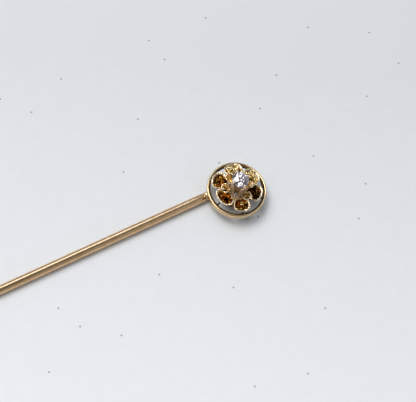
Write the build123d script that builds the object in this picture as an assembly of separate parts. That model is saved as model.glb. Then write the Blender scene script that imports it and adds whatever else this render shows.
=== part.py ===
from build123d import *
import os
from math import cos, sin, radians, sqrt

# Flower stick pin lying on its back. Origin: on the stem's axis where its clear length begins, just out
# from the ring. +X runs along the stem to the point and +Z up through the flower's face. The stem and
# the rosette seat both rest on z = -stem radius.

# Driving dimensions, mm.
OVERALL_LENGTH = 63.5
STEM_RADIUS = 0.60
STEM_ROOT_RADIUS = 0.55          # filed down to a slight cone where the head is soldered on
STEM_ROOT_LENGTH = 1.90
STEM_ROOT_ROUND = 0.12
POINT_TAPER_LENGTH = 14.5
POINT_TIP_RADIUS = 0.07
RING_OUTER_DIAMETER = 7.95
RING_STRIP_THICKNESS = 0.29
RING_STRIP_HEIGHT = 0.86
RING_EDGE_ROUND = 0.10
RING_LINING_THICKNESS = 0.20     # the narrow strip inside the ring, which the petals' ends meet
RING_LINING_HEIGHT = 0.40
RING_LINING_RISE = 0.12          # of its mid-plane above the ring's
RING_INSET_OVER_ROOT = 0.40      # from the stem's root to where the ring strip crosses above it
HEAD_SIDE_OFFSET = 1.34          # the head's centre from the stem's axis, along +Y
SOLDER_FILM = 0.02               # solder between the stem's top and the ring's underside
DIAMOND_DIAMETER = 2.3
GIRDLE_HEIGHT = 3.2              # above the ring's mid-plane
PETAL_COUNT = 6
PETAL_ROTATION = 13.2            # azimuth of outer petal 1, degrees
CLAW_COUNT = 4
CLAW_ROTATION = -3.3             # azimuth of claw 1, degrees

# Worked out from the driving dimensions.
TABLE_Z = -STEM_RADIUS
RING_RADIUS = RING_OUTER_DIAMETER / 2 - RING_STRIP_THICKNESS / 2
CROSSING_X = RING_INSET_OVER_ROOT - STEM_ROOT_LENGTH
CROSSING_RADIUS = STEM_RADIUS + (STEM_RADIUS - STEM_ROOT_RADIUS) * CROSSING_X / STEM_ROOT_LENGTH
RING_Z = CROSSING_RADIUS + SOLDER_FILM + RING_STRIP_HEIGHT / 2
HEAD_X = CROSSING_X - sqrt(RING_RADIUS**2 - HEAD_SIDE_OFFSET**2)
HEAD_Y = HEAD_SIDE_OFFSET
POINT_X = OVERALL_LENGTH + HEAD_X - RING_OUTER_DIAMETER / 2
PETAL_STEP = 360 / PETAL_COUNT

# Rosette seat: the flat washer under everything, and the collet ring on it.
SEAT_THICKNESS = 0.18
SEAT_OUTER_RADIUS = 1.70
SEAT_HOLE_RADIUS = 0.50
SEAT_TOP = TABLE_Z + SEAT_THICKNESS
COLLET_INNER_RADIUS = 0.50
COLLET_OUTER_RADIUS = 0.82
COLLET_HEIGHT = 0.27
COLLET_TOP = SEAT_TOP + COLLET_HEIGHT

# Outer petals: deep cups, cut open towards the crown.
CUP_CENTRE_RADIUS = 1.98
CUP_REACH = 1.22                 # radial half size
CUP_HALF_WIDTH = 1.08
CUP_DEPTH = 2.00
CUP_RIM_Z = RING_Z + 0.80
CUP_SHEET = 0.15
CUP_INNER_CUT = 1.14
PETAL_SECTOR_HALF_ANGLE = 29.5
ROOT_TAB_RADIUS = 0.24
ROOT_TAB_CENTRE = 1.42
ROOT_TAB_HEIGHT = 0.8

# Inner petals: small cups on upright roots, over the joints between the outer petals.
BUD_CENTRE_RADIUS = 1.57
BUD_RADIUS = 0.45
BUD_RIM_Z = RING_Z + 1.38
BUD_SHEET = 0.10
BUD_ROOT_INNER = 1.02
BUD_ROOT_OUTER = 1.11
BUD_ROOT_HALF_WIDTH = 0.15
BUD_ROOT_TOP = BUD_RIM_Z - 0.28

# Diamond and claws. Each claw has two legs, which spread to the collet ring.
GIRDLE_Z = RING_Z + GIRDLE_HEIGHT
GIRDLE_THICKNESS = 0.06
CROWN_HEIGHT = 0.40
TABLE_FACET_DIAMETER = 1.10
PAVILION_DEPTH = 1.0
CULET_RADIUS = 0.06
CLAW_FOOT_RADIUS = 0.66          # distance of a leg's foot from the head's axis
CLAW_FOOT_SPREAD = 29            # degrees from the claw to each of its feet
CLAW_FORK_DROP = 0.55            # from the girdle down to where the legs meet
CLAW_TOP_RADIUS = 1.17
CLAW_FOOT_THICKNESS = 0.26
CLAW_FORK_THICKNESS = 0.30
CLAW_TOP_THICKNESS = 0.27
CLAW_TIP_BEAD = 0.15             # radius of the bead pushed over the girdle
CLAW_TIP_INSET = 0.10
CLAW_LEAN = 0.03                 # how far a claw leans outwards above its fork
CLAW_NECK_RISE = 0.20            # from the girdle up to the neck and to the bead
CLAW_TIP_RISE = 0.22

# The bodies that cut others to shape are larger than the whole flower.
CUTTER_SPAN = 10
SECTOR_REACH = 6

# Solder: a saddle over the stem's root, and a bead from each outer petal's end to the ring.
STEM_SOLDER_HALF_LENGTH = 0.46
STEM_SOLDER_HALF_WIDTH = 0.42
STEM_SOLDER_HALF_DEPTH = 0.26
BEAD_RADIUS = 0.13
BEAD_START = 0.85                # part of the cup's reach where the bead starts


def head_axis(z):
    """A location on the head's own axis at height z."""
    return Location((HEAD_X, HEAD_Y, z))


def at_azimuth(shape, degrees):
    """Turn a shape modelled along +X from the head's axis, and carry it to the head."""
    return head_axis(0) * Rotation(0, 0, degrees) * shape


def ellipsoid(reach, half_width, depth):
    return scale(Sphere(1), by=(reach, half_width, depth))


def lower_half_space(top):
    return Pos(0, 0, top - CUTTER_SPAN / 2) * Box(2 * CUTTER_SPAN, 2 * CUTTER_SPAN, CUTTER_SPAN)


def sector(half_angle):
    """A wedge around +X that keeps neighbouring petals apart."""
    far = SECTOR_REACH
    corner = far * sin(radians(half_angle)) / cos(radians(half_angle))
    outline = Polyline((0, 0), (far, -corner), (far, corner), close=True)
    return extrude(make_face(outline), amount=CUTTER_SPAN, both=True)


def make_stem():
    """Plain round wire with a slightly coned, rounded root, drawn to a point."""
    outline = Polyline(
        (-STEM_ROOT_LENGTH, 0),
        (-STEM_ROOT_LENGTH, STEM_ROOT_RADIUS - STEM_ROOT_ROUND),
        (-STEM_ROOT_LENGTH + STEM_ROOT_ROUND, STEM_ROOT_RADIUS),
        (0, STEM_RADIUS),
        (POINT_X - POINT_TAPER_LENGTH, STEM_RADIUS),
        (POINT_X - POINT_TIP_RADIUS, POINT_TIP_RADIUS),
        (POINT_X, 0),
        close=True,
    )
    return revolve(make_face(outline), axis=Axis.X)


def make_halo_ring():
    """A hoop of flat strip standing on edge, its edges rounded."""
    section = Pos(RING_RADIUS, 0, 0) * Rotation(90, 0, 0) * RectangleRounded(
        RING_STRIP_THICKNESS, RING_STRIP_HEIGHT, RING_EDGE_ROUND
    )
    return head_axis(RING_Z) * revolve(section, axis=Axis.Z)


def make_ring_lining():
    """A narrow strip that lines the ring's inside."""
    radius = RING_OUTER_DIAMETER / 2 - RING_STRIP_THICKNESS - RING_LINING_THICKNESS / 2
    section = Pos(radius, 0, 0) * Rotation(90, 0, 0) * Rectangle(RING_LINING_THICKNESS, RING_LINING_HEIGHT)
    return head_axis(RING_Z + RING_LINING_RISE) * revolve(section, axis=Axis.Z)


def make_stem_solder(stem, ring):
    """Saddle of solder that fills the crossing of the stem and the ring."""
    blob = Pos(CROSSING_X, 0, CROSSING_RADIUS) * ellipsoid(
        STEM_SOLDER_HALF_LENGTH, STEM_SOLDER_HALF_WIDTH, STEM_SOLDER_HALF_DEPTH
    )
    return blob - stem - ring


def make_rosette_seat():
    height = SEAT_TOP - TABLE_Z
    disc = Cylinder(SEAT_OUTER_RADIUS, height) - Cylinder(SEAT_HOLE_RADIUS, height)
    return head_axis((SEAT_TOP + TABLE_Z) / 2) * disc


def make_collet_ring():
    ring = Cylinder(COLLET_OUTER_RADIUS, COLLET_HEIGHT) - Cylinder(COLLET_INNER_RADIUS, COLLET_HEIGHT)
    return head_axis(SEAT_TOP + COLLET_HEIGHT / 2) * ring


def make_outer_petal(number):
    """A cupped petal with a root tab that stands on the rosette seat."""
    cup_place = Pos(CUP_CENTRE_RADIUS, 0, CUP_RIM_Z)
    outer = cup_place * ellipsoid(CUP_REACH, CUP_HALF_WIDTH, CUP_DEPTH)
    inner = cup_place * ellipsoid(CUP_REACH - CUP_SHEET, CUP_HALF_WIDTH - CUP_SHEET, CUP_DEPTH - CUP_SHEET)
    tab = Cylinder(ROOT_TAB_RADIUS, ROOT_TAB_HEIGHT)
    tab = Pos(ROOT_TAB_CENTRE, 0, SEAT_TOP + ROOT_TAB_HEIGHT / 2) * tab
    petal = (outer + tab - inner) & lower_half_space(CUP_RIM_Z) & sector(PETAL_SECTOR_HALF_ANGLE)
    petal = petal - Cylinder(CUP_INNER_CUT, CUTTER_SPAN)
    return at_azimuth(petal, PETAL_ROTATION + number * PETAL_STEP)


def make_inner_petal(number):
    """A small cup on an upright root strip, turned half a step from the outer petals."""
    cup_place = Pos(BUD_CENTRE_RADIUS, 0, BUD_RIM_Z)
    outer = cup_place * Sphere(BUD_RADIUS)
    inner = cup_place * Sphere(BUD_RADIUS - BUD_SHEET)
    root_length = BUD_ROOT_TOP - SEAT_TOP
    root = Pos((BUD_ROOT_INNER + BUD_ROOT_OUTER) / 2, 0, SEAT_TOP + root_length / 2) * Box(
        BUD_ROOT_OUTER - BUD_ROOT_INNER, 2 * BUD_ROOT_HALF_WIDTH, root_length
    )
    neck_length = BUD_CENTRE_RADIUS - BUD_RADIUS / 2 - BUD_ROOT_INNER
    neck = Pos(BUD_ROOT_INNER + neck_length / 2, 0, BUD_ROOT_TOP - BUD_SHEET / 2) * Box(
        neck_length, 2 * BUD_ROOT_HALF_WIDTH, BUD_SHEET
    )
    petal = (outer + root + neck - inner) & lower_half_space(BUD_RIM_Z)
    return at_azimuth(petal, PETAL_ROTATION + (number + 0.5) * PETAL_STEP)


def make_diamond():
    """Old round cut: small table, high crown, deep pavilion, open culet."""
    radius = DIAMOND_DIAMETER / 2
    outline = Polyline(
        (0, -PAVILION_DEPTH),
        (CULET_RADIUS, -PAVILION_DEPTH),
        (radius, -GIRDLE_THICKNESS / 2),
        (radius, GIRDLE_THICKNESS / 2),
        (TABLE_FACET_DIAMETER / 2, CROWN_HEIGHT),
        (0, CROWN_HEIGHT),
        close=True,
    )
    profile = Plane.XZ * make_face(outline)
    return head_axis(GIRDLE_Z) * revolve(profile, axis=Axis.Z)


def tapered_bar(start, end, start_thickness, end_thickness):
    """A round bar between two points, with a ball of its own thickness at its end."""
    along = Plane(origin=(start + end) / 2, z_dir=end - start)
    bar = along * Cone(start_thickness / 2, end_thickness / 2, (end - start).length)
    return bar + Pos(*end) * Sphere(end_thickness / 2)


def make_claw(number, diamond):
    """A forked claw, notched around the girdle, its tip pushed over the stone's crown."""
    fork = Vector(CLAW_TOP_RADIUS - CLAW_LEAN, 0, GIRDLE_Z - CLAW_FORK_DROP)
    neck = Vector(CLAW_TOP_RADIUS, 0, GIRDLE_Z + CLAW_NECK_RISE)
    claw = tapered_bar(fork, neck, CLAW_FORK_THICKNESS, CLAW_TOP_THICKNESS)
    for side in (-1, 1):
        spread = radians(side * CLAW_FOOT_SPREAD)
        foot_z = COLLET_TOP - CLAW_FOOT_THICKNESS
        foot = Vector(CLAW_FOOT_RADIUS * cos(spread), CLAW_FOOT_RADIUS * sin(spread), foot_z)
        claw += tapered_bar(foot, fork, CLAW_FOOT_THICKNESS, CLAW_FORK_THICKNESS)
    claw += Pos(CLAW_TOP_RADIUS - CLAW_TIP_INSET, 0, GIRDLE_Z + CLAW_TIP_RISE) * Sphere(CLAW_TIP_BEAD)
    above_collet = Box(2 * CUTTER_SPAN, 2 * CUTTER_SPAN, CUTTER_SPAN)
    above_collet = Pos(0, 0, COLLET_TOP + CUTTER_SPAN / 2) * above_collet
    claw = at_azimuth(claw & above_collet, CLAW_ROTATION + number * 360 / CLAW_COUNT)
    return claw - diamond


def make_petal_solder(ring, lining, petals):
    """One short bead per petal, from the petal's end to the inside of the ring."""
    beads = []
    for number in range(PETAL_COUNT):
        inner_end = CUP_CENTRE_RADIUS + CUP_REACH * BEAD_START
        length = RING_RADIUS - inner_end
        rod = Pos(inner_end + length / 2, 0, RING_Z) * Rotation(0, 90, 0) * Cylinder(BEAD_RADIUS, length)
        bead = at_azimuth(rod, PETAL_ROTATION + number * PETAL_STEP) - ring - lining - petals[number]
        outermost = max(bead.solids(), key=lambda s: (s.center() - Vector(HEAD_X, HEAD_Y, RING_Z)).length)
        beads.append(outermost)
    return Compound(children=beads)


def write_node(name, shape):
    export_step(shape, f"parts/{name}.step")


os.makedirs("parts", exist_ok=True)
stem = make_stem()
halo_ring = make_halo_ring()
ring_lining = make_ring_lining()
diamond = make_diamond()
outer_petals = [make_outer_petal(number) for number in range(PETAL_COUNT)]
write_node("stem", stem)
write_node("halo_ring", halo_ring)
write_node("ring_lining", ring_lining)
write_node("stem_solder", make_stem_solder(stem, halo_ring))
write_node("rosette_seat", make_rosette_seat())
write_node("collet_ring", make_collet_ring())
write_node("diamond", diamond)
write_node("petal_solder", make_petal_solder(halo_ring, ring_lining, outer_petals))
for number in range(PETAL_COUNT):
    write_node(f"outer_petal_{number + 1}", outer_petals[number])
    write_node(f"inner_petal_{number + 1}", make_inner_petal(number))
for number in range(CLAW_COUNT):
    write_node(f"claw_{number + 1}", make_claw(number, diamond))
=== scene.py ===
from math import cos, pi, radians, sin

import bmesh
import bpy
import numpy as np
from mathutils import Matrix, Vector, noise


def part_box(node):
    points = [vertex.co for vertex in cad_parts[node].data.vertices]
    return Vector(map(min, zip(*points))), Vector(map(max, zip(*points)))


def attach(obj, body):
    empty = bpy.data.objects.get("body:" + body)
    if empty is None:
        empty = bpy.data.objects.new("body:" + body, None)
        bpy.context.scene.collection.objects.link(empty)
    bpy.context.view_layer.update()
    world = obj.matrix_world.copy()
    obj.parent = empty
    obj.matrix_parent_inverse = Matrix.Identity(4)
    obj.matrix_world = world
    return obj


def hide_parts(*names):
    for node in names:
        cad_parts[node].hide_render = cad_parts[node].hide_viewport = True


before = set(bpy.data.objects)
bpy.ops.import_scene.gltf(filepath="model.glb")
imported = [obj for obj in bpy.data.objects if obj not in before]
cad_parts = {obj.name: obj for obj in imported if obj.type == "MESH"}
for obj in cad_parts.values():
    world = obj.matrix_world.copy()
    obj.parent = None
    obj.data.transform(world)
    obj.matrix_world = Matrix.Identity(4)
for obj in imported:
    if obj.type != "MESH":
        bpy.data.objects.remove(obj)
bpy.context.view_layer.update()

MM = 0.001

# ---------------------------------------------------------------------------------------------------------
# The pin lies on its back on a pale table, under four soft lights, with a camera above it.
# The camera looks down steeply from beside the stem, and is turned so that the stem runs to the lower left.
# ---------------------------------------------------------------------------------------------------------
ring_low, ring_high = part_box("halo_ring")
head = (ring_low + ring_high) / 2
stem_low, stem_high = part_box("stem")
table_z = stem_low.z

CAMERA_DISTANCE = 236 * MM
CAMERA_ELEVATION = radians(63)
CAMERA_BEARING = radians(42.2)          # from the stem's direction, seen from above
CAMERA_ROLL = radians(20)
HEAD_RIGHT_OF_CENTRE = 3.74 * MM
HEAD_ABOVE_CENTRE = 1.39 * MM
LENS_MM = 155.2
SENSOR_WIDTH_MM = 36
NEAREST_SEEN = 10 * MM

towards_camera = Vector((
    cos(CAMERA_ELEVATION) * cos(CAMERA_BEARING),
    cos(CAMERA_ELEVATION) * sin(CAMERA_BEARING),
    sin(CAMERA_ELEVATION),
))
level_right = Vector((0, 0, 1)).cross(towards_camera).normalized()
level_up = towards_camera.cross(level_right)
view_right = cos(CAMERA_ROLL) * level_right + sin(CAMERA_ROLL) * level_up
view_up = -sin(CAMERA_ROLL) * level_right + cos(CAMERA_ROLL) * level_up
floor_right = Vector((view_right.x, view_right.y, 0)).normalized()
floor_up = Vector((-floor_right.y, floor_right.x, 0))

camera_data = bpy.data.cameras.new("camera")
camera_data.lens = LENS_MM
camera_data.sensor_width = SENSOR_WIDTH_MM
camera_data.clip_start = NEAREST_SEEN
camera = bpy.data.objects.new("camera", camera_data)
bpy.context.scene.collection.objects.link(camera)
camera_place = Matrix((view_right, view_up, towards_camera)).transposed().to_4x4()
camera_place.translation = (
    head + towards_camera * CAMERA_DISTANCE
    - view_right * HEAD_RIGHT_OF_CENTRE - view_up * HEAD_ABOVE_CENTRE
)
camera.matrix_world = camera_place
bpy.context.scene.camera = camera


def add_node(tree, kind, **settings):
    node = tree.nodes.new(kind)
    for key, value in settings.items():
        setattr(node, key, value)
    return node


def new_material(name):
    """A material with an empty tree, its output and its shader."""
    material = bpy.data.materials.new(name)
    material.use_nodes = True
    tree = material.node_tree
    tree.nodes.clear()
    shader = add_node(tree, "ShaderNodeBsdfPrincipled")
    output = add_node(tree, "ShaderNodeOutputMaterial")
    tree.links.new(shader.outputs["BSDF"], output.inputs["Surface"])
    return material, tree, shader


def mesh_object(name, points, faces, smooth=True):
    mesh = bpy.data.meshes.new(name)
    mesh.from_pydata([tuple(p) for p in points], [], faces)
    mesh.update()
    mesh.polygons.foreach_set("use_smooth", [smooth] * len(mesh.polygons))
    piece = bpy.data.objects.new(name, mesh)
    bpy.context.scene.collection.objects.link(piece)
    return piece


FLOOR_SIDE = 0.9
TABLE_GRAIN = 1.3 * MM
TABLE_GRAIN_WEIGHT = 0.34
# The table's colour is painted darker towards the back, as light falloff, on top of its real grain.
TABLE_PAINTED_FALLOFF_REACH = 32 * MM              # palest this far in front of the origin, darkest this far behind
CRUMB_SPACING = 11 * MM
CRUMB_CORE = 0.006                      # parts of the spacing
CRUMB_EDGE = 0.016
CRUMB_STRENGTH = 0.65
half_side = FLOOR_SIDE / 2
floor = mesh_object("table", [
    (head.x - half_side, head.y - half_side, table_z),
    (head.x + half_side, head.y - half_side, table_z),
    (head.x + half_side, head.y + half_side, table_z),
    (head.x - half_side, head.y + half_side, table_z),
], [(0, 1, 2, 3)], smooth=False)
floor_material, tree, shader = new_material("pale_table")
coordinates = add_node(tree, "ShaderNodeTexCoord")
grain = add_node(tree, "ShaderNodeTexNoise")
grain.inputs["Scale"].default_value = 1 / TABLE_GRAIN
grain.inputs["Detail"].default_value = 6
grain.inputs["Roughness"].default_value = 0.75
tint = add_node(tree, "ShaderNodeMix", data_type="RGBA")
tint.inputs["A"].default_value = (0.90, 0.912, 0.922, 1)
tint.inputs["B"].default_value = (0.715, 0.730, 0.742, 1)
# Painted shade: tint B, the darker end, is laid towards the back of the table as light falloff.
backwards = add_node(tree, "ShaderNodeVectorMath", operation="DOT_PRODUCT")
backwards.inputs[1].default_value = floor_up
painted_falloff_range = add_node(tree, "ShaderNodeMapRange")
painted_falloff_range.inputs["From Min"].default_value = -TABLE_PAINTED_FALLOFF_REACH
painted_falloff_range.inputs["From Max"].default_value = TABLE_PAINTED_FALLOFF_REACH
grain_and_painted_falloff = add_node(tree, "ShaderNodeMath", operation="MULTIPLY_ADD")
grain_and_painted_falloff.inputs[1].default_value = TABLE_GRAIN_WEIGHT
crumbs = add_node(tree, "ShaderNodeTexVoronoi", voronoi_dimensions="2D")
crumbs.inputs["Scale"].default_value = 1 / CRUMB_SPACING
near_crumb = add_node(tree, "ShaderNodeMapRange")
near_crumb.inputs["From Min"].default_value = CRUMB_CORE
near_crumb.inputs["From Max"].default_value = CRUMB_EDGE
near_crumb.inputs["To Min"].default_value = CRUMB_STRENGTH
near_crumb.inputs["To Max"].default_value = 0.0
crumb_colour = add_node(tree, "ShaderNodeMix", data_type="RGBA")
crumb_colour.inputs["B"].default_value = (0.06, 0.06, 0.07, 1)
tree.links.new(coordinates.outputs["Object"], grain.inputs["Vector"])
tree.links.new(coordinates.outputs["Object"], crumbs.inputs["Vector"])
tree.links.new(coordinates.outputs["Object"], backwards.inputs[0])
tree.links.new(backwards.outputs["Value"], painted_falloff_range.inputs["Value"])
tree.links.new(grain.outputs["Fac"], grain_and_painted_falloff.inputs[0])
tree.links.new(painted_falloff_range.outputs["Result"], grain_and_painted_falloff.inputs[2])
tree.links.new(grain_and_painted_falloff.outputs["Value"], tint.inputs["Factor"])
tree.links.new(crumbs.outputs["Distance"], near_crumb.inputs["Value"])
tree.links.new(near_crumb.outputs["Result"], crumb_colour.inputs["Factor"])
tree.links.new(tint.outputs["Result"], crumb_colour.inputs["A"])
tree.links.new(crumb_colour.outputs["Result"], shader.inputs["Base Color"])
shader.inputs["Roughness"].default_value = 0.9
shader.inputs["Specular IOR Level"].default_value = 0.1
floor.data.materials.append(floor_material)


def soft_light(name, bearing, elevation, distance, width, depth, radiance, colour):
    """A rectangular light aimed at the head. The bearing is in degrees from floor_right towards floor_up."""
    data = bpy.data.lights.new(name, "AREA")
    data.shape = "RECTANGLE"
    data.size = width
    data.size_y = depth
    data.energy = radiance * pi * width * depth
    data.color = colour
    lamp = bpy.data.objects.new(name, data)
    bpy.context.scene.collection.objects.link(lamp)
    level = cos(radians(bearing)) * floor_right + sin(radians(bearing)) * floor_up
    away = cos(radians(elevation)) * level + Vector((0, 0, sin(radians(elevation))))
    aim = away.to_track_quat("Z", "Y").to_matrix().to_4x4()
    lamp.matrix_world = Matrix.Translation(head + away * distance) @ aim


soft_light("window", 103, 52, 0.50, 0.15, 0.20, 2.3, (0.85, 1.0, 1.27))
soft_light("key", 145, 60, 0.60, 0.32, 0.32, 5.1, (1.0, 0.995, 0.98))
soft_light("overhead", 184, 73, 0.60, 0.30, 0.30, 3.2, (1.0, 1.0, 1.0))
soft_light("side", -20, 33, 0.60, 0.34, 0.26, 0.22, (1.0, 0.98, 0.94))

world = bpy.data.worlds.new("studio")
world.use_nodes = True
bpy.context.scene.world = world
tree = world.node_tree
tree.nodes.clear()
coordinates = add_node(tree, "ShaderNodeTexCoord")
towards_lens = add_node(tree, "ShaderNodeVectorMath", operation="DOT_PRODUCT")
towards_lens.inputs[1].default_value = towards_camera
ramp = add_node(tree, "ShaderNodeValToRGB")
ramp.color_ramp.elements[0].position = 0.70
ramp.color_ramp.elements[0].color = (0.43, 0.44, 0.46, 1)
ramp.color_ramp.elements[1].position = 0.90
ramp.color_ramp.elements[1].color = (0.05, 0.05, 0.055, 1)
background = add_node(tree, "ShaderNodeBackground")
output = add_node(tree, "ShaderNodeOutputWorld")
tree.links.new(coordinates.outputs["Generated"], towards_lens.inputs[0])
tree.links.new(towards_lens.outputs["Value"], ramp.inputs["Fac"])
tree.links.new(ramp.outputs["Color"], background.inputs["Color"])
tree.links.new(background.outputs["Background"], output.inputs["Surface"])
bpy.context.scene.view_settings.view_transform = "Standard"

# ---------------------------------------------------------------------------------------------------------
# The stem is one length of drawn gold wire, polished and then rubbed dull by years of cloth.
# Its root is filed down a little for the head, and its far end is drawn out to a point.
# ---------------------------------------------------------------------------------------------------------
STEM_SIDES = 48
STEM_RADIUS = (stem_high.z - stem_low.z) / 2
ROOT_RADIUS = STEM_RADIUS - 0.05 * MM
ROOT_ROUND = 0.12 * MM
POINT_TAPER = 14.5 * MM
POINT_RADIUS = 0.06 * MM
POINT_FULLNESS = 0.9                    # under 1 the taper swells a little
STEM_WAVE = 0.006 * MM                  # how far the drawn wire is from true
STEM_WAVE_LENGTH = 1.9 * MM
END_STEPS = 5
BODY_STEPS = 90
TAPER_STEPS = 40


def worn_gold(name, colour, deep_colour, roughness, patch_size=0.9, metallic=1.0):
    """Polished gold alloy: uneven colour in soft patches, a varying polish, and fine rubbed scratches."""
    material, tree, shader = new_material(name)
    links = tree.links
    coordinates = add_node(tree, "ShaderNodeTexCoord")
    patches = add_node(tree, "ShaderNodeTexNoise")
    patches.inputs["Scale"].default_value = 1 / (patch_size * MM)
    patches.inputs["Detail"].default_value = 4
    links.new(coordinates.outputs["Object"], patches.inputs["Vector"])
    tone = add_node(tree, "ShaderNodeValToRGB")
    tone.color_ramp.elements[0].position = 0.36
    tone.color_ramp.elements[0].color = (*deep_colour, 1)
    tone.color_ramp.elements[1].position = 0.62
    tone.color_ramp.elements[1].color = (*colour, 1)
    links.new(patches.outputs["Fac"], tone.inputs["Fac"])
    links.new(tone.outputs["Color"], shader.inputs["Base Color"])
    rub = add_node(tree, "ShaderNodeTexNoise")
    rub.inputs["Scale"].default_value = 1 / (0.35 * MM)
    rub.inputs["Detail"].default_value = 6
    rub.inputs["Roughness"].default_value = 0.7
    links.new(coordinates.outputs["Object"], rub.inputs["Vector"])
    polish = add_node(tree, "ShaderNodeMapRange")
    polish.inputs["From Min"].default_value = 0.3
    polish.inputs["From Max"].default_value = 0.7
    polish.inputs["To Min"].default_value = roughness * 0.75
    polish.inputs["To Max"].default_value = roughness * 1.25
    links.new(rub.outputs["Fac"], polish.inputs["Value"])
    links.new(polish.outputs["Result"], shader.inputs["Roughness"])
    dents = add_node(tree, "ShaderNodeBump")
    dents.inputs["Strength"].default_value = 0.35
    dents.inputs["Distance"].default_value = 0.02 * MM
    links.new(rub.outputs["Fac"], dents.inputs["Height"])
    links.new(dents.outputs["Normal"], shader.inputs["Normal"])
    shader.inputs["Metallic"].default_value = metallic
    return material


def turned_along_x(name, stations, sides):
    """A closed round bar along X, from (x, radius) stations."""
    points = []
    for x, radius in stations:
        for k in range(sides):
            angle = 2 * pi * k / sides
            points.append((x, radius * cos(angle), radius * sin(angle)))
    faces = []
    for row in range(len(stations) - 1):
        for k in range(sides):
            a = row * sides + k
            b = row * sides + (k + 1) % sides
            faces.append((a, b, b + sides, a + sides))
    faces.append(tuple(range(sides)))
    faces.append(tuple(range((len(stations) - 1) * sides, len(stations) * sides))[::-1])
    return mesh_object(name, points, faces)


def make_normals_outward(piece):
    shape = bmesh.new()
    shape.from_mesh(piece.data)
    bmesh.ops.recalc_face_normals(shape, faces=shape.faces)
    shape.to_mesh(piece.data)
    shape.free()


def stem_stations():
    """(x, radius) from the filed root, along the body and down the taper to the rounded point."""
    root_x = stem_low.x
    point_x = stem_high.x
    shoulder_x = point_x - POINT_TAPER
    stations = []
    for k in range(END_STEPS + 1):
        angle = k / END_STEPS * pi / 2
        x = root_x + ROOT_ROUND * (1 - cos(angle))
        stations.append((x, ROOT_RADIUS - ROOT_ROUND * (1 - sin(angle))))
    for k in range(BODY_STEPS + 1):
        x = shoulder_x * k / BODY_STEPS
        wave = STEM_WAVE * noise.noise(Vector((x / STEM_WAVE_LENGTH, 3.1, 0)))
        stations.append((x, STEM_RADIUS - STEM_WAVE + wave))
    for k in range(1, TAPER_STEPS + 1):
        part = k / TAPER_STEPS
        x = shoulder_x + (POINT_TAPER - POINT_RADIUS) * part
        stations.append((x, POINT_RADIUS + (STEM_RADIUS - POINT_RADIUS) * (1 - part) ** POINT_FULLNESS))
    for k in range(1, END_STEPS):
        angle = k / END_STEPS * pi / 2
        stations.append((point_x - POINT_RADIUS * (1 - sin(angle)), POINT_RADIUS * cos(angle)))
    return stations


stem_gold = worn_gold("stem_gold", (0.72, 0.49, 0.28), (0.64, 0.42, 0.22), 0.14)
stem_wire = turned_along_x("stem_wire", stem_stations(), STEM_SIDES)
make_normals_outward(stem_wire)
stem_wire.data.materials.append(stem_gold)
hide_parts("stem")
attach(stem_wire, "root")

# ---------------------------------------------------------------------------------------------------------
# The ring is a hoop of flat gold strip on edge, bent round the flower and soldered across the stem's root.
# A narrow strip lines it inside; its near-black colour is painted shade, for the dark shaded gap between the
# ring and the petals.
# Both were closed and trued by hand, so they are very slightly uneven all round.
# ---------------------------------------------------------------------------------------------------------
RING_OUTER_RADIUS = (ring_high.x - ring_low.x) / 2
STRIP_HEIGHT = ring_high.z - ring_low.z
STRIP_THICKNESS = 0.29 * MM
STRIP_EDGE_ROUND = 0.135 * MM
STRIP_UNEVENNESS = 0.022 * MM
LINING_RISE = 0.12 * MM                 # of its middle above the ring's
LINING_INSET = 0.10 * MM                # of its middle from the ring's inner face
LINING_THICKNESS = 0.26 * MM
LINING_HEIGHT = 0.40 * MM
LINING_EDGE_ROUND = 0.06 * MM
LINING_UNEVENNESS = 0.08 * MM
HOOP_STEPS = 220
EDGE_STEPS = 7
HAND_WAVE = 1.3 * MM                    # size of the hammer's and file's unevenness


def empty_tree(name, inputs):
    """A geometry tree with a geometry output and the named inputs, given as name: (type, value)."""
    tree = bpy.data.node_groups.new(name, "GeometryNodeTree")
    tree.interface.new_socket("Geometry", in_out="INPUT", socket_type="NodeSocketGeometry")
    for label, (kind, value) in inputs.items():
        socket = tree.interface.new_socket(label, in_out="INPUT", socket_type=kind)
        socket.default_value = value
    tree.interface.new_socket("Geometry", in_out="OUTPUT", socket_type="NodeSocketGeometry")
    return tree, add_node(tree, "NodeGroupInput"), add_node(tree, "NodeGroupOutput")


def run_tree(name, tree, values, base=None):
    """Run a tree with these values and keep the result as a plain mesh object."""
    carrier = base or mesh_object(name + "_carrier", [(0, 0, 0)], [])
    modifier = carrier.modifiers.new("tree", "NODES")
    modifier.node_group = tree
    for item in tree.interface.items_tree:
        if item.in_out == "INPUT" and item.name in values:
            modifier[item.identifier] = values[item.name]
    bpy.context.view_layer.update()
    evaluated = carrier.evaluated_get(bpy.context.evaluated_depsgraph_get())
    mesh = bpy.data.meshes.new_from_object(evaluated)
    carrier.modifiers.remove(modifier)
    bpy.data.objects.remove(carrier)
    mesh.name = name
    piece = bpy.data.objects.new(name, mesh)
    bpy.context.scene.collection.objects.link(piece)
    return piece


ring_gold = worn_gold("ring_gold", (0.81, 0.61, 0.36), (0.66, 0.48, 0.26), 0.17)

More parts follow.
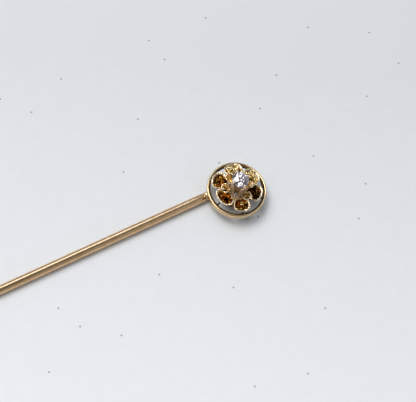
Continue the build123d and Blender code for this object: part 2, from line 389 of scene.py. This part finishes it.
tree, given, result = empty_tree("hoop_of_strip", {
    "Centre": ("NodeSocketVector", (0, 0, 0)),
    "Hoop radius": ("NodeSocketFloat", 0.0),
    "Strip thickness": ("NodeSocketFloat", 0.0),
    "Strip height": ("NodeSocketFloat", 0.0),
    "Edge round": ("NodeSocketFloat", 0.0),
    "Unevenness": ("NodeSocketFloat", 0.0),
})
hoop = add_node(tree, "GeometryNodeCurvePrimitiveCircle")
hoop.inputs["Resolution"].default_value = HOOP_STEPS
section = add_node(tree, "GeometryNodeCurvePrimitiveQuadrilateral")
rounded = add_node(tree, "GeometryNodeFilletCurve", mode="POLY")
rounded.inputs["Count"].default_value = EDGE_STEPS
sweep = add_node(tree, "GeometryNodeCurveToMesh")
place = add_node(tree, "GeometryNodeTransform")
shift = add_node(tree, "GeometryNodeSetPosition")
unevenness = add_node(tree, "ShaderNodeTexNoise")
unevenness.inputs["Scale"].default_value = 1 / HAND_WAVE
unevenness.inputs["Detail"].default_value = 1
normal = add_node(tree, "GeometryNodeInputNormal")
lower = add_node(tree, "ShaderNodeMath", operation="SUBTRACT")
lower.inputs[1].default_value = 1.0
amount = add_node(tree, "ShaderNodeMath", operation="MULTIPLY")
along = add_node(tree, "ShaderNodeVectorMath", operation="SCALE")
smooth = add_node(tree, "GeometryNodeSetShadeSmooth")
realize = add_node(tree, "GeometryNodeRealizeInstances")
finish = add_node(tree, "GeometryNodeSetMaterial")
finish.inputs["Material"].default_value = ring_gold
link = tree.links.new
link(given.outputs["Hoop radius"], hoop.inputs["Radius"])
link(given.outputs["Strip thickness"], section.inputs["Width"])
link(given.outputs["Strip height"], section.inputs["Height"])
link(given.outputs["Edge round"], rounded.inputs["Radius"])
link(section.outputs["Curve"], rounded.inputs["Curve"])
link(hoop.outputs["Curve"], sweep.inputs["Curve"])
link(rounded.outputs["Curve"], sweep.inputs["Profile Curve"])
link(sweep.outputs["Mesh"], place.inputs["Geometry"])
link(given.outputs["Centre"], place.inputs["Translation"])
link(place.outputs["Geometry"], shift.inputs["Geometry"])
link(unevenness.outputs["Fac"], lower.inputs[0])
link(lower.outputs["Value"], amount.inputs[0])
link(given.outputs["Unevenness"], amount.inputs[1])
link(normal.outputs["Normal"], along.inputs[0])
link(amount.outputs["Value"], along.inputs["Scale"])
link(along.outputs["Vector"], shift.inputs["Offset"])
link(shift.outputs["Geometry"], smooth.inputs["Geometry"])
link(smooth.outputs["Geometry"], realize.inputs["Geometry"])
link(realize.outputs["Geometry"], finish.inputs["Geometry"])
link(finish.outputs["Geometry"], result.inputs["Geometry"])

hoop_strip = run_tree("hoop_strip", tree, {
    "Centre": head,
    "Hoop radius": RING_OUTER_RADIUS - STRIP_THICKNESS / 2,
    "Strip thickness": STRIP_THICKNESS,
    "Strip height": STRIP_HEIGHT,
    "Edge round": STRIP_EDGE_ROUND,
    "Unevenness": STRIP_UNEVENNESS,
})
make_normals_outward(hoop_strip)
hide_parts("halo_ring")
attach(hoop_strip, "root")

# Near-black gold: on the lining it is painted shade for the gap inside the ring; the petal solder beads
# below share it as tarnish.
tarnish_and_painted_shade_gold = worn_gold("tarnish_and_painted_shade_gold", (0.10, 0.06, 0.03), (0.03, 0.02, 0.012), 0.45, patch_size=0.5)
finish.inputs["Material"].default_value = tarnish_and_painted_shade_gold
bearing_strip = run_tree("bearing_strip", tree, {
    "Centre": head + Vector((0, 0, LINING_RISE)),
    "Hoop radius": RING_OUTER_RADIUS - STRIP_THICKNESS - LINING_INSET,
    "Strip thickness": LINING_THICKNESS,
    "Strip height": LINING_HEIGHT,
    "Edge round": LINING_EDGE_ROUND,
    "Unevenness": LINING_UNEVENNESS,
})
make_normals_outward(bearing_strip)
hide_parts("ring_lining")
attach(bearing_strip, "root")

# ---------------------------------------------------------------------------------------------------------
# Six outer petals, raised from gold sheet into deep cups that open towards the crown.
# Each has a polished rolled rim and a punched inside painted darker with depth as shade, and stands on the
# seat under the flower.
# ---------------------------------------------------------------------------------------------------------
PETAL_COUNT = 6
PETAL_ROTATION = 13.2                 # degrees from the stem's direction to outer petal 1
PETAL_TIP = 3.35                      # mm from the head's axis
PETAL_TAPER = 0.42                    # how much narrower the petal is towards the crown
PETAL_FLOOR_AT = 1.72
PETAL_ROOT = 0.95                     # how far the middle is drawn down to the seat
PETAL_FLOOR_Z = -0.35                 # mm from the ring's middle
PETAL_TIP_Z = 0.80
PETAL_SIDE_Z = 0.95
PETAL_INNER_Z = -0.10
PETAL_SHEET = 0.11
PETAL_BEAD = 0.065
SPREAD_POWER = 0.85                   # how a cup opens and rises from its floor to its rim
RISE_POWER = 1.3
ROOT_REACH = 0.45                     # part of the cup that the root draws down
PUNCHES_PER_MM = 4.6
RIM_STEPS = 9
RIM_ROLL_FROM = -45                   # degrees
RIM_ROLL = 270
RIM_LIFT = 0.6                        # in bead radii, from the sheet's edge


def petal_mesh(name, seed, inner_end, tip, half_width, taper, floor_at, floor_z, root, rim_z, sheet,
               bead, around, up, roughness, turn):
    """A closed cup of sheet with a rolled rim. rim_z gives the rim's height from the cosine of the angle
    around the cup, 1 at the tip and -1 at the crown. root is how far the middle is drawn down to the seat.
    Sizes in mm, from the head's axis and the ring's middle."""
    middle = (inner_end + tip) / 2
    reach = (tip - inner_end) / 2
    inside = np.zeros((up, around, 3))
    for j in range(around):
        angle = 2 * pi * j / around
        c, s = cos(angle), sin(angle)
        wave = noise.noise(Vector((1.7 * c, 1.7 * s, seed * 3.7)))
        ripple = noise.noise(Vector((4.5 * c, 4.5 * s, seed * 1.9 + 5)))
        rim_x = middle + reach * c * (1 + 0.05 * wave)
        rim_y = half_width * s * (1 + taper * c) * (1 + 0.04 * wave + 0.02 * ripple)
        top = rim_z(c) + 0.07 * wave + 0.05 * ripple
        for i in range(up):
            part = (i + 1) / up
            out, rise = part ** SPREAD_POWER, part ** RISE_POWER
            x = floor_at + (rim_x - floor_at) * out
            y = rim_y * out
            z = floor_z + (top - floor_z) * rise - root * max(0.0, 1 - part / ROOT_REACH) ** 1.4
            if i < up - 2:
                spot = Vector((x * PUNCHES_PER_MM, y * PUNCHES_PER_MM, seed + z * PUNCHES_PER_MM))
                z += roughness * noise.noise(spot)
            inside[i, j] = (x, y, z)
    tangent_around = np.roll(inside, -1, axis=1) - np.roll(inside, 1, axis=1)
    tangent_up = np.gradient(inside, axis=0)
    facing = np.cross(tangent_around, tangent_up)
    facing /= np.linalg.norm(facing, axis=2, keepdims=True) + 1e-12
    outside = inside - facing * sheet * np.sign(np.mean(facing[0, :, 2]))
    facing *= np.sign(np.mean(facing[0, :, 2]))
    rows = [inside[i] for i in range(up)]
    kinds = [1 - i / (up - 1) for i in range(up)]
    centre = (inside[-1] + outside[-1]) / 2
    inward = facing[-1]
    lift = tangent_up[-1] / (np.linalg.norm(tangent_up[-1], axis=1, keepdims=True) + 1e-12)
    for k in range(RIM_STEPS):
        a = radians(RIM_ROLL_FROM + RIM_ROLL * k / (RIM_STEPS - 1))
        rows.append(centre + bead * (cos(a) * inward + (sin(a) + RIM_LIFT) * lift))
        kinds.append(0.0)
    rows += [outside[i] for i in reversed(range(up))]
    kinds += [1 - i / (up - 1) for i in reversed(range(up))]
    rows = np.array(rows)
    bottom_in = inside[0].mean(axis=0)
    bottom_out = outside[0].mean(axis=0)
    points = [tuple(p) for row in rows for p in row] + [tuple(bottom_in), tuple(bottom_out)]
    faces = []
    for i in range(len(rows) - 1):
        for j in range(around):
            n = (j + 1) % around
            faces.append((i * around + j, i * around + n, (i + 1) * around + n, (i + 1) * around + j))
    last = (len(rows) - 1) * around
    for j in range(around):
        n = (j + 1) % around
        faces.append((n, j, len(rows) * around))
        faces.append((last + j, last + n, len(rows) * around + 1))
    place = Matrix.Translation(head) @ Matrix.Rotation(radians(turn), 4, "Z") @ Matrix.Scale(MM, 4)
    piece = mesh_object(name, [place @ Vector(p) for p in points], faces)
    depth = piece.data.attributes.new("depth", "FLOAT", "POINT")
    values = [k for k in kinds for _ in range(around)] + [1.0, 1.0]
    depth.data.foreach_set("value", values)
    hollow = piece.data.attributes.new("hollow", "FLOAT", "POINT")
    inner = [1.0 if i < up - 1 else 0.0 for i in range(len(rows)) for _ in range(around)] + [1.0, 0.0]
    hollow.data.foreach_set("value", inner)
    make_normals_outward(piece)
    return piece


def petal_finish(name, rim_colour, deep_colour, tarnish, rim_roughness, deep_roughness):
    """Bright polished rim that passes into a punched hollow painted darker as shade, by the depth kept on
    the mesh.
    """
    material, tree, shader = new_material(name)
    links = tree.links
    depth = add_node(tree, "ShaderNodeAttribute", attribute_name="depth")
    coordinates = add_node(tree, "ShaderNodeTexCoord")
    # Painted shade: the colour darkens from the pale rim into the hollow by the depth kept on the mesh.
    fade = add_node(tree, "ShaderNodeMapRange")
    fade.inputs["From Min"].default_value = 0.02
    fade.inputs["From Max"].default_value = 0.14
    links.new(depth.outputs["Fac"], fade.inputs["Value"])
    patches = add_node(tree, "ShaderNodeTexNoise")
    patches.inputs["Scale"].default_value = 1 / (0.55 * MM)
    patches.inputs["Detail"].default_value = 5
    links.new(coordinates.outputs["Object"], patches.inputs["Vector"])
    deep = add_node(tree, "ShaderNodeValToRGB")
    deep.color_ramp.elements[0].position = 0.44
    deep.color_ramp.elements[0].color = (*[c * (1 - tarnish) for c in deep_colour], 1)
    deep.color_ramp.elements[1].position = 0.56
    deep.color_ramp.elements[1].color = (*deep_colour, 1)
    links.new(patches.outputs["Fac"], deep.inputs["Fac"])
    tone = add_node(tree, "ShaderNodeMix", data_type="RGBA")
    tone.inputs["A"].default_value = (*rim_colour, 1)
    links.new(fade.outputs["Result"], tone.inputs["Factor"])
    links.new(deep.outputs["Color"], tone.inputs["B"])
    links.new(tone.outputs["Result"], shader.inputs["Base Color"])
    polish = add_node(tree, "ShaderNodeMapRange")
    polish.inputs["To Min"].default_value = rim_roughness
    polish.inputs["To Max"].default_value = deep_roughness
    links.new(fade.outputs["Result"], polish.inputs["Value"])
    links.new(polish.outputs["Result"], shader.inputs["Roughness"])
    punches = add_node(tree, "ShaderNodeTexVoronoi")
    punches.inputs["Scale"].default_value = 1 / (0.16 * MM)
    links.new(coordinates.outputs["Object"], punches.inputs["Vector"])
    weight = add_node(tree, "ShaderNodeMath", operation="MULTIPLY")
    links.new(punches.outputs["Distance"], weight.inputs[0])
    links.new(fade.outputs["Result"], weight.inputs[1])
    dents = add_node(tree, "ShaderNodeBump")
    dents.inputs["Strength"].default_value = 0.8
    dents.inputs["Distance"].default_value = 0.05 * MM
    links.new(weight.outputs["Value"], dents.inputs["Height"])
    links.new(dents.outputs["Normal"], shader.inputs["Normal"])
    shader.inputs["Metallic"].default_value = 1.0
    return material


def outer_rim(c):
    """Height of an outer petal's rim: low at the crown, highest at the sides, a little lower at the tip."""
    open_end = max(0.0, -c - 0.35) / 0.65
    closed = PETAL_SIDE_Z + (PETAL_TIP_Z - PETAL_SIDE_Z) * max(0.0, c) ** 1.5
    return closed + (PETAL_INNER_Z - closed) * open_end ** 1.4


cream_rim = (0.92, 0.76, 0.52)
deep_gold = petal_finish("petal_gold", cream_rim, (0.80, 0.47, 0.13), 0.95, 0.20, 0.22)
# The next two are darker and paler copies of the petal gold: painted shade on petal 3, painted light on
# petals 4 and 5.
shaded_copy_petal_gold = petal_finish("painted_shade_petal_gold", cream_rim, (0.42, 0.22, 0.07), 0.98, 0.20, 0.24)
lit_copy_petal_gold = petal_finish("painted_light_petal_gold", cream_rim, (0.92, 0.68, 0.27), 0.70, 0.20, 0.22)
PETALS = (
    # crown end, tip, half width, lift of the rim, gold
    (1.02, 3.12, 1.13, 0.28, deep_gold),
    (1.22, 3.35, 0.93, 0.00, deep_gold),
    (1.15, 3.20, 1.02, 0.32, shaded_copy_petal_gold),
    (1.22, 3.35, 1.02, 0.10, lit_copy_petal_gold),
    (1.22, 3.35, 1.02, 0.10, lit_copy_petal_gold),
    (1.22, 3.42, 1.02, 0.12, deep_gold),
)
for k, (inner_end, tip, half_width, lift, petal_gold) in enumerate(PETALS):
    petal = petal_mesh(
        f"cup_petal_{k + 1}", k + 1, inner_end, tip, half_width, PETAL_TAPER, PETAL_FLOOR_AT,
        PETAL_FLOOR_Z, PETAL_ROOT, lambda c: outer_rim(c) + lift, PETAL_SHEET, PETAL_BEAD,
        around=110, up=34, roughness=0.16, turn=PETAL_ROTATION + k * 360 / PETAL_COUNT,
    )
    petal.data.materials.append(petal_gold)
    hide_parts(f"outer_petal_{k + 1}")
    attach(petal, "root")

# ---------------------------------------------------------------------------------------------------------
# Six inner petals, smaller curled cups over the joints between the outer ones.
# Each is cut from the same sheet with a narrow root, which is bent up from the seat beside the crown.
# ---------------------------------------------------------------------------------------------------------
BUD_INNER_END = 1.06
BUD_LENGTH = 1.0
BUD_HALF_WIDTH = 0.50
BUD_FLOOR_Z = 0.72
BUD_TIP_Z = 1.32
BUD_SIDE_Z = 1.42
BUD_INNER_Z = 0.76
BUD_TAPER = 0.18
BUD_FLOOR_AT = 0.4                    # mm out from the crown end, on a petal of size 1
BUD_SHEET = 0.09
BUD_BEAD = 0.07
BUD_FIRST_SEED = 20
BUD_SIZES = (                         # size, and how far the petal has been pressed down
    (0.60, 0.75),
    (1.08, 0.15),
    (0.80, 0.00),
    (1.00, 0.00),
    (1.00, 0.05),
    (1.12, 0.10),
)


def inner_rim(c):
    open_end = max(0.0, -c - 0.2) / 0.8
    closed = BUD_SIDE_Z + (BUD_TIP_Z - BUD_SIDE_Z) * max(0.0, c)
    return closed + (BUD_INNER_Z - closed) * open_end ** 1.3


bud_gold = petal_finish("bud_gold", (0.92, 0.76, 0.50), (0.86, 0.59, 0.22), 0.75, 0.20, 0.26)
for k, (size, sunk) in enumerate(BUD_SIZES):
    bud = petal_mesh(
        f"bud_petal_{k + 1}", BUD_FIRST_SEED + k, BUD_INNER_END, BUD_INNER_END + BUD_LENGTH * size,
        BUD_HALF_WIDTH * size, BUD_TAPER, BUD_INNER_END + BUD_FLOOR_AT * size, BUD_FLOOR_Z - sunk, 0.0,
        lambda c: inner_rim(c) - sunk, BUD_SHEET, BUD_BEAD,
        around=64, up=16, roughness=0.04, turn=PETAL_ROTATION + (k + 0.5) * 360 / PETAL_COUNT,
    )
    bud.data.materials.append(bud_gold)
    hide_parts(f"inner_petal_{k + 1}")
    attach(bud, "root")

# ---------------------------------------------------------------------------------------------------------
# Loose curls of gold wire dress the petals, most of them on the side away from the stem.
# Each is a short length rolled into an open scroll on a pointed tool and fused where it touches a petal.
# ---------------------------------------------------------------------------------------------------------
SCROLLS = (
    # bearing from the stem's direction, radius, height above the ring's middle, size, lean outwards
    (151, 1.70, 1.50, 0.27, 0.3),
    (163, 2.35, 1.15, 0.24, 0.5),
    (177, 2.62, 1.13, 0.30, 0.5),
    (188, 2.78, 1.20, 0.26, 0.2),
    (201, 2.50, 1.30, 0.34, 0.4),
    (212, 2.05, 1.35, 0.26, 0.1),
    (225, 2.30, 1.30, 0.24, 0.3),
    (239, 2.70, 1.20, 0.25, 0.5),
    (250, 2.30, 1.35, 0.30, 0.1),
    (258, 2.65, 1.15, 0.28, 0.4),
    (268, 2.75, 1.25, 0.33, 0.2),
    (274, 2.15, 1.20, 0.27, 0.4),
    (79, 2.20, 0.25, 0.30, -0.3),
    (118, 2.05, 0.80, 0.22, 0.3),
)
scroll_points = []
scroll_leans = []
for bearing, radius, height, size, lean in SCROLLS:
    out = Vector((cos(radians(bearing)), sin(radians(bearing)), 0))
    scroll_points.append(head + (out * radius + Vector((0, 0, height))) * MM)
    scroll_leans.append((out * lean + Vector((0, 0, 1))).normalized())
scroll_places = mesh_object("scroll_places", scroll_points, [])
size_data = scroll_places.data.attributes.new("size", "FLOAT", "POINT")
size_data.data.foreach_set("value", [row[3] for row in SCROLLS])
lean_data = scroll_places.data.attributes.new("lean", "FLOAT_VECTOR", "POINT")
lean_data.data.foreach_set("vector", [c for lean in scroll_leans for c in lean])
turn_data = scroll_places.data.attributes.new("turn", "FLOAT", "POINT")
turn_data.data.foreach_set("value", [2.1 * k for k in range(len(SCROLLS))])

scroll_gold = worn_gold("scroll_gold", (1.0, 0.84, 0.48), (0.92, 0.70, 0.32), 0.15, patch_size=0.3)
tree, given, result = empty_tree("scrolls", {
    "Turns": ("NodeSocketFloat", 1.0),
    "Inner radius": ("NodeSocketFloat", 0.0),
    "Outer radius": ("NodeSocketFloat", 0.0),
    "Rise": ("NodeSocketFloat", 0.0),
    "Wire radius": ("NodeSocketFloat", 0.0),
})
spiral = add_node(tree, "GeometryNodeCurveSpiral")
spiral.inputs["Resolution"].default_value = 40
wire = add_node(tree, "GeometryNodeCurvePrimitiveCircle")
wire.inputs["Resolution"].default_value = 14
sweep = add_node(tree, "GeometryNodeCurveToMesh")
sweep.inputs["Fill Caps"].default_value = True
smooth = add_node(tree, "GeometryNodeSetShadeSmooth")
size_read = add_node(tree, "GeometryNodeInputNamedAttribute", data_type="FLOAT")
size_read.inputs["Name"].default_value = "size"
lean_read = add_node(tree, "GeometryNodeInputNamedAttribute", data_type="FLOAT_VECTOR")
lean_read.inputs["Name"].default_value = "lean"
turn_read = add_node(tree, "GeometryNodeInputNamedAttribute", data_type="FLOAT")
turn_read.inputs["Name"].default_value = "turn"
spin = add_node(tree, "ShaderNodeCombineXYZ")
upright = add_node(tree, "FunctionNodeAlignRotationToVector", axis="Z")
copies = add_node(tree, "GeometryNodeInstanceOnPoints")
realize = add_node(tree, "GeometryNodeRealizeInstances")
finish = add_node(tree, "GeometryNodeSetMaterial")
finish.inputs["Material"].default_value = scroll_gold
link = tree.links.new
link(given.outputs["Turns"], spiral.inputs["Rotations"])
link(given.outputs["Inner radius"], spiral.inputs["Start Radius"])
link(given.outputs["Outer radius"], spiral.inputs["End Radius"])
link(given.outputs["Rise"], spiral.inputs["Height"])
link(given.outputs["Wire radius"], wire.inputs["Radius"])
link(spiral.outputs["Curve"], sweep.inputs["Curve"])
link(wire.outputs["Curve"], sweep.inputs["Profile Curve"])
link(sweep.outputs["Mesh"], smooth.inputs["Geometry"])
link(given.outputs["Geometry"], copies.inputs["Points"])
link(smooth.outputs["Geometry"], copies.inputs["Instance"])
link(turn_read.outputs["Attribute"], spin.inputs["Z"])
link(spin.outputs["Vector"], upright.inputs["Rotation"])
link(lean_read.outputs["Attribute"], upright.inputs["Vector"])
link(upright.outputs["Rotation"], copies.inputs["Rotation"])
link(size_read.outputs["Attribute"], copies.inputs["Scale"])
link(copies.outputs["Instances"], realize.inputs["Geometry"])
link(realize.outputs["Geometry"], finish.inputs["Geometry"])
link(finish.outputs["Geometry"], result.inputs["Geometry"])

scrolls = run_tree("petal_scrolls", tree, {
    "Turns": 1.35,
    "Inner radius": 0.45 * MM,
    "Outer radius": 0.85 * MM,
    "Rise": 0.5 * MM,
    "Wire radius": 0.24 * MM,
}, base=scroll_places)
make_normals_outward(scrolls)
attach(scrolls, "root")

# ---------------------------------------------------------------------------------------------------------
# The crown is four forked gold claws that lean outwards from the collet ring.
# Each has two legs that join under the stone, and its rounded tip is bent over the stone's edge.
# ---------------------------------------------------------------------------------------------------------
CLAW_COUNT = 4
CLAW_ROTATION = -3.3                  # degrees from the stem's direction to claw 1
CLAW_FOOT_SUNK = 0.04                 # mm into the collet ring
GIRDLE_Z = 3.2                        # mm from the ring's middle
stone_low, stone_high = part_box("diamond")
STONE_RADIUS = (stone_high.x - stone_low.x) / 2
collet_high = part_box("collet_ring")[1]


def bar_along(points, radii, sides):
    """Rings of points round a path, each turned square to it. Returns points and faces of a closed bar."""
    ring_points, faces = [], []
    side_hint = Vector((0, 1, 0))
    for k, centre in enumerate(points):
        ahead = points[min(k + 1, len(points) - 1)] - points[max(k - 1, 0)]
        ahead.normalize()
        across = (side_hint - ahead * side_hint.dot(ahead)).normalized()
        out = ahead.cross(across)
        for j in range(sides):
            a = 2 * pi * j / sides
            ring_points.append(centre + radii[k] * (cos(a) * across + sin(a) * out))
    for k in range(len(points) - 1):
        for j in range(sides):
            n = (j + 1) % sides
            faces.append((k * sides + j, k * sides + n, (k + 1) * sides + n, (k + 1) * sides + j))
    faces.append(tuple(range(sides))[::-1])
    faces.append(tuple(range((len(points) - 1) * sides, len(points) * sides)))
    return ring_points, faces


claw_gold = worn_gold(
    "claw_gold", (0.98, 0.80, 0.64), (0.90, 0.69, 0.50), 0.36, patch_size=0.6, metallic=0.72,
)
foot_z = (collet_high.z - head.z) / MM - CLAW_FOOT_SUNK
fork = Vector((1.13, 0, GIRDLE_Z - 0.55))
leg_path = [
    Vector((0.59, 0.33, foot_z)),
    Vector((0.66, 0.32, foot_z + 0.9)),
    Vector((0.78, 0.29, foot_z + 2.0)),
    Vector((0.93, 0.24, foot_z + 3.0)),
    Vector((1.04, 0.16, GIRDLE_Z - 0.85)),
    Vector((1.10, 0.07, GIRDLE_Z - 0.64)),
    fork,
]
leg_radii = [0.10, 0.11, 0.115, 0.12, 0.14, 0.155, 0.14]
head_path = [
    fork - Vector((0.01, 0, 0.12)),
    fork,
    Vector((1.17, 0, GIRDLE_Z - 0.22)),
    Vector((1.18, 0, GIRDLE_Z)),
    Vector((1.17, 0, GIRDLE_Z + 0.16)),
    Vector((1.10, 0, GIRDLE_Z + 0.28)),
    Vector((1.00, 0, GIRDLE_Z + 0.33)),
    Vector((0.92, 0, GIRDLE_Z + 0.33)),
]
head_radii = [0.12, 0.17, 0.17, 0.165, 0.16, 0.15, 0.11, 0.03]
for k in range(CLAW_COUNT):
    turn = Matrix.Rotation(radians(CLAW_ROTATION + k * 360 / CLAW_COUNT), 4, "Z")
    place = Matrix.Translation(head) @ turn @ Matrix.Scale(MM, 4)
    points, faces = bar_along(head_path, head_radii, 20)
    for side in (-1, 1):
        leg, leg_faces = bar_along([Vector((p.x, p.y * side, p.z)) for p in leg_path], leg_radii, 18)
        faces += [tuple(i + len(points) for i in face) for face in leg_faces]
        points += leg
    claw = mesh_object(f"crown_claw_{k + 1}", [place @ p for p in points], faces)
    make_normals_outward(claw)
    claw.data.materials.append(claw_gold)
    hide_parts(f"claw_{k + 1}")
    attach(claw, "root")

# ---------------------------------------------------------------------------------------------------------
# The stone is a diamond in an old round cut: a small table, a high crown, a deep pavilion, an open culet.
# It sits a little askew between the claws, whose tips hold it by the edge.
# ---------------------------------------------------------------------------------------------------------
TABLE_RADIUS = 0.47
CROWN_HEIGHT = 0.42
PAVILION_DEPTH = 0.98
CULET_RADIUS = 0.07
STONE_R = STONE_RADIUS / MM - 0.01
BEZEL_RADIUS = 0.80
LOWER_RADIUS = 0.42
GIRDLE_HALF = 0.03
STONE_TILT = radians(5)
STONE_TURN = radians(27)


def old_cut_stone():
    points, faces = [], []

    def add(radius, degrees, z):
        points.append(Vector((radius * cos(radians(degrees)), radius * sin(radians(degrees)), z)))
        return len(points) - 1

    half = cos(radians(22.5))
    bezel_z = GIRDLE_HALF + CROWN_HEIGHT * (STONE_R - BEZEL_RADIUS * half) / (STONE_R - TABLE_RADIUS)
    lower_z = -GIRDLE_HALF - PAVILION_DEPTH * (STONE_R - LOWER_RADIUS * half) / (STONE_R - CULET_RADIUS)
    table = [add(TABLE_RADIUS, 45 * k, GIRDLE_HALF + CROWN_HEIGHT) for k in range(8)]
    bezel = [add(BEZEL_RADIUS, 45 * k + 22.5, bezel_z) for k in range(8)]
    upper = [add(STONE_R, 22.5 * k, GIRDLE_HALF) for k in range(16)]
    under = [add(STONE_R, 22.5 * k, -GIRDLE_HALF) for k in range(16)]
    lower = [add(LOWER_RADIUS, 45 * k + 22.5, lower_z) for k in range(8)]
    culet = [add(CULET_RADIUS, 45 * k + 22.5, -GIRDLE_HALF - PAVILION_DEPTH) for k in range(8)]
    faces.append(tuple(table))
    faces.append(tuple(reversed(culet)))
    for k in range(8):
        before, after = (k - 1) % 8, (k + 1) % 8
        faces.append((table[k], table[after], bezel[k]))
        faces.append((table[k], bezel[k], upper[2 * k], bezel[before]))
        faces.append((bezel[k], upper[2 * k + 1], upper[2 * k]))
        faces.append((bezel[k], upper[(2 * k + 2) % 16], upper[2 * k + 1]))
        faces.append((lower[k], under[2 * k], under[2 * k + 1]))
        faces.append((lower[k], under[2 * k + 1], under[(2 * k + 2) % 16]))
        faces.append((under[2 * k], lower[k], culet[k], culet[before], lower[before]))
    for k in range(16):
        n = (k + 1) % 16
        faces.append((upper[k], upper[n], under[n], under[k]))
    return points, faces


stone_material, tree, shader = new_material("old_cut_diamond")
coordinates = add_node(tree, "ShaderNodeTexCoord")
cloud = add_node(tree, "ShaderNodeTexNoise")
cloud.inputs["Scale"].default_value = 1 / (0.8 * MM)
tint = add_node(tree, "ShaderNodeMix", data_type="RGBA")
tint.inputs["A"].default_value = (0.56, 0.50, 0.58, 1)
tint.inputs["B"].default_value = (0.82, 0.75, 0.76, 1)
tree.links.new(coordinates.outputs["Object"], cloud.inputs["Vector"])
tree.links.new(cloud.outputs["Fac"], tint.inputs["Factor"])
tree.links.new(tint.outputs["Result"], shader.inputs["Base Color"])
shader.inputs["Roughness"].default_value = 0.0
shader.inputs["IOR"].default_value = 2.417
shader.inputs["Transmission Weight"].default_value = 1.0

stone_points, stone_faces = old_cut_stone()
stone_place = (
    Matrix.Translation(head + Vector((0, 0, GIRDLE_Z * MM)))
    @ Matrix.Rotation(STONE_TILT, 4, floor_up) @ Matrix.Rotation(STONE_TURN, 4, "Z") @ Matrix.Scale(MM, 4)
)
stone = mesh_object("old_cut_stone", [stone_place @ p for p in stone_points], stone_faces, smooth=False)
make_normals_outward(stone)
stone.data.materials.append(stone_material)
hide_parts("diamond")
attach(stone, "root")

# ---------------------------------------------------------------------------------------------------------
# Under the flower, a flat washer and a short collet ring carry the petals and the claws.
# Solder joins the petals to the ring, in beads that have tarnished black, and the ring to the stem.
# ---------------------------------------------------------------------------------------------------------
SOLDER_START = PETAL_TIP - 0.3        # mm from the head's axis
SOLDER_STEP = 0.15
SOLDER_Z = 0.38                       # mm from the ring's middle at the petal
SOLDER_DROP = 0.06                    # each step
SOLDER_RADII = [0.04, 0.11, 0.13, 0.12, 0.05]
SOLDER_SIDES = 16

# The seat's gold is painted darker than the rest, as shade under the flower.
seat_gold = worn_gold("seat_gold", (0.50, 0.33, 0.15), (0.26, 0.16, 0.07), 0.35)
solder_gold = worn_gold("solder", (0.80, 0.60, 0.38), (0.62, 0.42, 0.22), 0.3, patch_size=0.3)
solder_beads, bead_faces = [], []
for k in range(PETAL_COUNT):
    turn = Matrix.Rotation(radians(PETAL_ROTATION + k * 360 / PETAL_COUNT), 4, "Z")
    place = Matrix.Translation(head) @ turn @ Matrix.Scale(MM, 4)
    path = [
        Vector((SOLDER_START + SOLDER_STEP * j, 0, SOLDER_Z - SOLDER_DROP * j))
        for j in range(len(SOLDER_RADII))
    ]
    bead, faces = bar_along(path, SOLDER_RADII, SOLDER_SIDES)
    bead_faces += [tuple(i + len(solder_beads) for i in face) for face in faces]
    solder_beads += [place @ p for p in bead]
petal_beads = mesh_object("petal_solder_beads", solder_beads, bead_faces)
make_normals_outward(petal_beads)
petal_beads.data.materials.append(tarnish_and_painted_shade_gold)
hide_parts("petal_solder")
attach(petal_beads, "root")
for node, material in (
    ("rosette_seat", seat_gold),
    ("collet_ring", seat_gold),
    ("stem_solder", solder_gold),
):
    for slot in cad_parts[node].material_slots:
        slot.material = material
